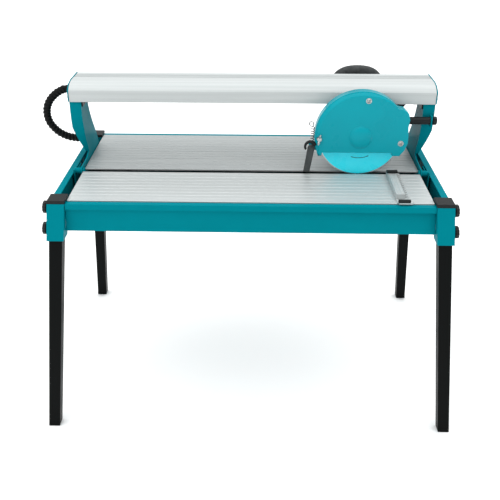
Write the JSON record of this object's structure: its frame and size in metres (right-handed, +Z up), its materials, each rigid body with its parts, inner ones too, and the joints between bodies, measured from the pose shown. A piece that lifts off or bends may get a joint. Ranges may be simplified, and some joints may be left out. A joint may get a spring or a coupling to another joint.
{
  "type": "wet tile saw",
  "caption": "Bridge wet tile saw on splayed legs: ribbed table with a blade slot, tilting bridge beam, sliding motor head with round blade guard, side fence and water tray.",
  "frame": {"origin": "on the floor under the middle of the frame", "axes": "+X along the cut to the operator's right, +Y away from the operator, +Z up"},
  "size_m": [1.0153, 0.6452, 0.7828],
  "materials": {
    "teal_paint": "gloss powder coat",
    "guard_paint": "gloss powder coat",
    "tray_paint": "moulded, satin",
    "black_plastic": "moulded, satin",
    "black_paint": "satin powder coat",
    "aluminium": "extruded, anodised",
    "cast_black": "cast, painted black",
    "zinc_steel": "zinc plated",
    "blade_cyan": "painted core, bare rim",
    "rubber": "matte"
  },
  "bodies": {
    "frame": {"rail_front": "teal_paint", "rail_rear": "teal_paint", "rail_left": "teal_paint", "rail_right": "teal_paint", "post_front_left": "teal_paint", "post_front_right": "teal_paint", "post_rear_left": "teal_paint", "post_rear_right": "teal_paint", "cap_front_left": "black_plastic", "cap_front_right": "black_plastic", "cap_rear_left": "black_plastic", "cap_rear_right": "black_plastic", "table_front": "aluminium", "table_rear": "aluminium", "water_tray": "tray_paint", "water_pump": "black_plastic", "pivot_bracket_left": "teal_paint", "pivot_bracket_right": "teal_paint"},
    "bridge": {"support_left": "teal_paint", "support_right": "teal_paint", "bridge_beam": "aluminium", "end_plate_left": "teal_paint", "end_plate_right": "teal_paint", "cable_gland": "black_plastic", "conduit": "rubber", "lock_sleeve": "black_plastic"},
    "head": {"carriage": "cast_black", "gear_housing": "cast_black", "motor_housing": "cast_black", "handle": "black_plastic", "guard_back": "guard_paint", "guard_cover": "guard_paint"},
    "blade_shaft": {"spindle": "zinc_steel", "blade": "blade_cyan", "blade_nut": "zinc_steel"},
    "switch": {"switch_button": "rubber"},
    "flap": {"splash_flap": "rubber"},
    "lock": {"lock_screw": "black_plastic"},
    "drain": {"drain_plug": "rubber"},
    "fence": {"fence_base": "aluminium"},
    "fence_arm": {"fence_bar": "aluminium"},
    "fence_clamp": {"fence_knob": "black_plastic"},
    "bevel_nut_l": {"bevel_nut_left": "black_plastic"},
    "bevel_nut_r": {"bevel_nut_right": "black_plastic"},
    "roller_front_left": {"roller_front_left": "zinc_steel"},
    "roller_front_right": {"roller_front_right": "zinc_steel"},
    "roller_rear_left": {"roller_rear_left": "zinc_steel"},
    "roller_rear_right": {"roller_rear_right": "zinc_steel"},
    "leg_front_left": {"leg_front_left": "black_paint"},
    "leg_knob_front_left_upper": {"leg_knob_front_left_upper": "black_plastic"},
    "leg_knob_front_left_lower": {"leg_knob_front_left_lower": "black_plastic"},
    "leg_front_right": {"leg_front_right": "black_paint"},
    "leg_knob_front_right_upper": {"leg_knob_front_right_upper": "black_plastic"},
    "leg_knob_front_right_lower": {"leg_knob_front_right_lower": "black_plastic"},
    "leg_rear_left": {"leg_rear_left": "black_paint"},
    "leg_knob_rear_left_upper": {"leg_knob_rear_left_upper": "black_plastic"},
    "leg_knob_rear_left_lower": {"leg_knob_rear_left_lower": "black_plastic"},
    "leg_rear_right": {"leg_rear_right": "black_paint"},
    "leg_knob_rear_right_upper": {"leg_knob_rear_right_upper": "black_plastic"},
    "leg_knob_rear_right_lower": {"leg_knob_rear_right_lower": "black_plastic"}
  },
  "joints": [
    {"name": "bridge_tilt", "type": "hinge", "parent": "frame", "child": "bridge", "pos_m": [0, -0.0395, 0.566], "axis": [1, 0, 0], "range_deg": [0, 45]},
    {"name": "head_slide", "type": "slide", "parent": "bridge", "child": "head", "axis": [1, 0, 0], "range_m": [-0.52, 0]},
    {"name": "blade_spin", "type": "hinge", "parent": "head", "child": "blade_shaft", "pos_m": [0.258, -0.0395, 0.663], "axis": [0, 1, 0], "continuous": true},
    {"name": "switch_press", "type": "slide", "parent": "head", "child": "switch", "axis": [0, 0, -1], "range_m": [0, 0.004], "stiffness_N_per_m": 400},
    {"name": "flap_swing", "type": "hinge", "parent": "head", "child": "flap", "pos_m": [0.144, -0.0415, 0.63], "axis": [0, 1, 0], "range_deg": [-2, 75]},
    {"name": "lock_screw_out", "type": "slide", "parent": "bridge", "child": "lock", "axis": [1, 0, 0], "range_m": [0, 0.02]},
    {"name": "drain_plug_pull", "type": "slide", "parent": "frame", "child": "drain", "axis": [0, 0, -1], "range_m": [0, 0.02]},
    {"name": "fence_slide", "type": "slide", "parent": "frame", "child": "fence", "axis": [1, 0, 0], "range_m": [-0.7, 0.04]},
    {"name": "fence_angle", "type": "hinge", "parent": "fence", "child": "fence_arm", "pos_m": [0.336, -0.0745, 0.582], "axis": [0, 0, 1], "range_deg": [-45, 45]},
    {"name": "fence_knob_turn", "type": "hinge", "parent": "fence", "child": "fence_clamp", "pos_m": [0.336, -0.0745, 0.582], "axis": [0, 0, 1], "continuous": true},
    {"name": "bevel_nut_l_turn", "type": "hinge", "parent": "frame", "child": "bevel_nut_l", "pos_m": [-0.4143, 0.00513, 0.55487], "axis": [-1, 0, 0], "continuous": true},
    {"name": "bevel_nut_r_turn", "type": "hinge", "parent": "frame", "child": "bevel_nut_r", "pos_m": [0.4143, 0.00513, 0.55487], "axis": [1, 0, 0], "continuous": true},
    {"name": "roller_front_left_roll", "type": "hinge", "parent": "head", "child": "roller_front_left", "pos_m": [0.216, 0.034, 0.7403], "axis": [0, 1, 0], "range_deg": [-2500, 10]},
    {"name": "roller_front_right_roll", "type": "hinge", "parent": "head", "child": "roller_front_right", "pos_m": [0.3, 0.034, 0.7403], "axis": [0, 1, 0], "range_deg": [-2500, 10]},
    {"name": "roller_rear_left_roll", "type": "hinge", "parent": "head", "child": "roller_rear_left", "pos_m": [0.216, 0.087, 0.7403], "axis": [0, 1, 0], "range_deg": [-2500, 10]},
    {"name": "roller_rear_right_roll", "type": "hinge", "parent": "head", "child": "roller_rear_right", "pos_m": [0.3, 0.087, 0.7403], "axis": [0, 1, 0], "range_deg": [-2500, 10]},
    {"name": "leg_front_left_pull", "type": "slide", "parent": "frame", "child": "leg_front_left", "axis": [-0.0861, -0.1559, -0.984], "range_m": [0, 0.075]},
    {"name": "leg_knob_front_left_upper_turn", "type": "hinge", "parent": "frame", "child": "leg_knob_front_left_upper", "pos_m": [-0.4514, -0.22153, 0.552], "axis": [-0.9962, 0, 0.0872], "continuous": true},
    {"name": "leg_knob_front_left_lower_turn", "type": "hinge", "parent": "frame", "child": "leg_knob_front_left_lower", "pos_m": [-0.45569, -0.22929, 0.503], "axis": [-0.9962, 0, 0.0872], "continuous": true},
    {"name": "leg_front_right_pull", "type": "slide", "parent": "frame", "child": "leg_front_right", "axis": [0.0861, -0.1559, -0.984], "range_m": [0, 0.075]},
    {"name": "leg_knob_front_right_upper_turn", "type": "hinge", "parent": "frame", "child": "leg_knob_front_right_upper", "pos_m": [0.4514, -0.22153, 0.552], "axis": [0.9962, 0, 0.0872], "continuous": true},
    {"name": "leg_knob_front_right_lower_turn", "type": "hinge", "parent": "frame", "child": "leg_knob_front_right_lower", "pos_m": [0.45569, -0.22929, 0.503], "axis": [0.9962, 0, 0.0872], "continuous": true},
    {"name": "leg_rear_left_pull", "type": "slide", "parent": "frame", "child": "leg_rear_left", "axis": [-0.0861, 0.1559, -0.984], "range_m": [0, 0.075]},
    {"name": "leg_knob_rear_left_upper_turn", "type": "hinge", "parent": "frame", "child": "leg_knob_rear_left_upper", "pos_m": [-0.4514, 0.22153, 0.552], "axis": [-0.9962, 0, 0.0872], "continuous": true},
    {"name": "leg_knob_rear_left_lower_turn", "type": "hinge", "parent": "frame", "child": "leg_knob_rear_left_lower", "pos_m": [-0.45569, 0.22929, 0.503], "axis": [-0.9962, 0, 0.0872], "continuous": true},
    {"name": "leg_rear_right_pull", "type": "slide", "parent": "frame", "child": "leg_rear_right", "axis": [0.0861, 0.1559, -0.984], "range_m": [0, 0.075]},
    {"name": "leg_knob_rear_right_upper_turn", "type": "hinge", "parent": "frame", "child": "leg_knob_rear_right_upper", "pos_m": [0.4514, 0.22153, 0.552], "axis": [0.9962, 0, 0.0872], "continuous": true},
    {"name": "leg_knob_rear_right_lower_turn", "type": "hinge", "parent": "frame", "child": "leg_knob_rear_right_lower", "pos_m": [0.45569, 0.22929, 0.503], "axis": [0.9962, 0, 0.0872], "continuous": true}
  ],
  "couplings": [
    {"joint": "roller_front_left_roll", "follows": "head_slide", "rad_per_m": 83.333},
    {"joint": "roller_front_right_roll", "follows": "head_slide", "rad_per_m": 83.333},
    {"joint": "roller_rear_left_roll", "follows": "head_slide", "rad_per_m": 83.333},
    {"joint": "roller_rear_right_roll", "follows": "head_slide", "rad_per_m": 83.333}
  ]
}
